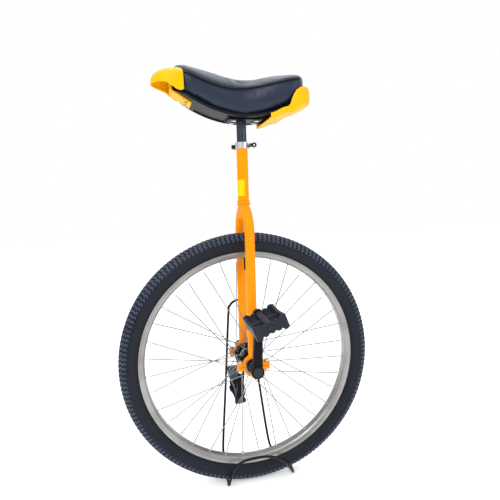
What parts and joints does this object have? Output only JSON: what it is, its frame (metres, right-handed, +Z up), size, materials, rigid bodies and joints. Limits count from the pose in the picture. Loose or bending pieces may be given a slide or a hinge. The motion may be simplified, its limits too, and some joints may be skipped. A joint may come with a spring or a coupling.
{
  "type": "unicycle",
  "caption": "Unicycle with a spoked pneumatic wheel, cotterless cranks, block pedals, a steel fork, a clamped seat post, a padded saddle with a handle, and a bent-rod parking stand.",
  "frame": {"origin": "on the floor, straight under the hub", "axes": "+Z is up, -X is where the saddle's handle points, -Y is the rider's left"},
  "size_m": [0.5997, 0.4052, 0.9731],
  "materials": {
    "tyre": "moulded rubber",
    "tube_rubber": "butyl rubber",
    "rim_tape": "rubber band",
    "rim_alloy": "brushed",
    "spoke_steel": "drawn wire",
    "nipple_plating": "nickel plated",
    "valve_rubber": "moulded",
    "hub_shell": "polished",
    "hub_flange": "black",
    "axle_steel": "ground",
    "bearing_steel": "ground",
    "bearing_seal": "moulded",
    "crank_black": "satin black",
    "cap_plastic": "moulded",
    "bolt_steel": "zinc plated",
    "pedal_plastic": "moulded",
    "bush_plastic": "moulded",
    "pedal_cap": "moulded",
    "frame_orange": "gloss powder coat",
    "label_yellow": "blank sticker",
    "clamp_alloy": "polished",
    "lever_black": "moulded",
    "post_black": "black",
    "plate_black": "black",
    "pan_plastic": "moulded",
    "cushion_vinyl": "soft glossy vinyl",
    "piping_vinyl": "vinyl cord",
    "trim_yellow": "moulded",
    "screw_steel": "zinc plated",
    "stand_black": "plastic dipped"
  },
  "bodies": {
    "frame": {"seat_tube": "frame_orange", "crown_ring": "frame_orange", "fork_leg_left": "frame_orange", "fork_leg_right": "frame_orange", "bearing_cap_left": "frame_orange", "bearing_cap_right": "frame_orange", "cap_bolts": "bolt_steel", "cap_nuts": "bolt_steel", "bearing_outer_left": "bearing_steel", "bearing_outer_right": "bearing_steel", "bearing_shields": "bearing_seal", "frame_label": "label_yellow", "seat_clamp": "clamp_alloy", "clamp_skewer": "axle_steel"},
    "wheel": {"tyre": "tyre", "inner_tube": "tube_rubber", "rim_tape": "rim_tape", "rim": "rim_alloy", "spokes": "spoke_steel", "nipples": "nipple_plating", "valve": "valve_rubber", "hub_shell": "hub_shell", "hub_flanges": "hub_flange", "axle": "axle_steel", "bearing_inner_left": "bearing_steel", "bearing_inner_right": "bearing_steel", "bearing_balls": "bearing_steel", "crank_left": "crank_black", "crank_right": "crank_black", "crank_bolts": "bolt_steel", "crank_caps": "cap_plastic", "pedal_spindle_left": "axle_steel", "pedal_spindle_right": "axle_steel"},
    "pedal_left": {"pedal_body_left": "pedal_plastic", "pedal_bushes_left": "bush_plastic", "pedal_cap_left": "pedal_cap"},
    "pedal_right": {"pedal_body_right": "pedal_plastic", "pedal_bushes_right": "bush_plastic", "pedal_cap_right": "pedal_cap"},
    "post_foot": {"post_plug": "cap_plastic"},
    "saddle": {"seat_post": "post_black", "seat_plate": "plate_black", "seat_base": "pan_plastic", "seat_cushion": "cushion_vinyl", "seat_piping": "piping_vinyl", "front_handle": "trim_yellow", "rear_bumper": "trim_yellow", "seat_bolts": "screw_steel", "seat_nuts": "screw_steel", "trim_screws": "screw_steel"},
    "lever": {"clamp_lever": "clamp_alloy", "lever_eye": "lever_black"},
    "nut": {"clamp_nut": "lever_black"},
    "stand": {"parking_stand": "stand_black"}
  },
  "joints": [
    {"name": "wheel_spin", "type": "hinge", "parent": "frame", "child": "wheel", "pos_m": [0, 0, 0.301], "axis": [0, 1, 0], "continuous": true},
    {"name": "pedal_left_spin", "type": "hinge", "parent": "wheel", "child": "pedal_left", "pos_m": [0.00554, -0.147, 0.42788], "axis": [0, 1, 0], "continuous": true},
    {"name": "pedal_right_spin", "type": "hinge", "parent": "wheel", "child": "pedal_right", "pos_m": [-0.00554, 0.147, 0.17412], "axis": [0, 1, 0], "continuous": true},
    {"name": "seat_height", "type": "slide", "parent": "frame", "child": "post_foot", "axis": [0, 0, 1], "range_m": [-0.033, 0.08]},
    {"name": "seat_swivel", "type": "hinge", "parent": "post_foot", "child": "saddle", "pos_m": [0, 0, 0.8], "axis": [0, 0, 1], "range_deg": [-180, 180]},
    {"name": "clamp_lever_swing", "type": "hinge", "parent": "frame", "child": "lever", "pos_m": [0.0162, 0.0222, 0.799], "axis": [0, 0, 1], "range_deg": [0, 160]},
    {"name": "clamp_nut_turn", "type": "hinge", "parent": "frame", "child": "nut", "pos_m": [-0.015, 0.0222, 0.799], "axis": [1, 0, 0], "continuous": true},
    {"name": "stand_lift", "type": "slide", "parent": "frame", "child": "stand", "axis": [0, 0, -1], "range_m": [0, 0.085]}
  ]
}
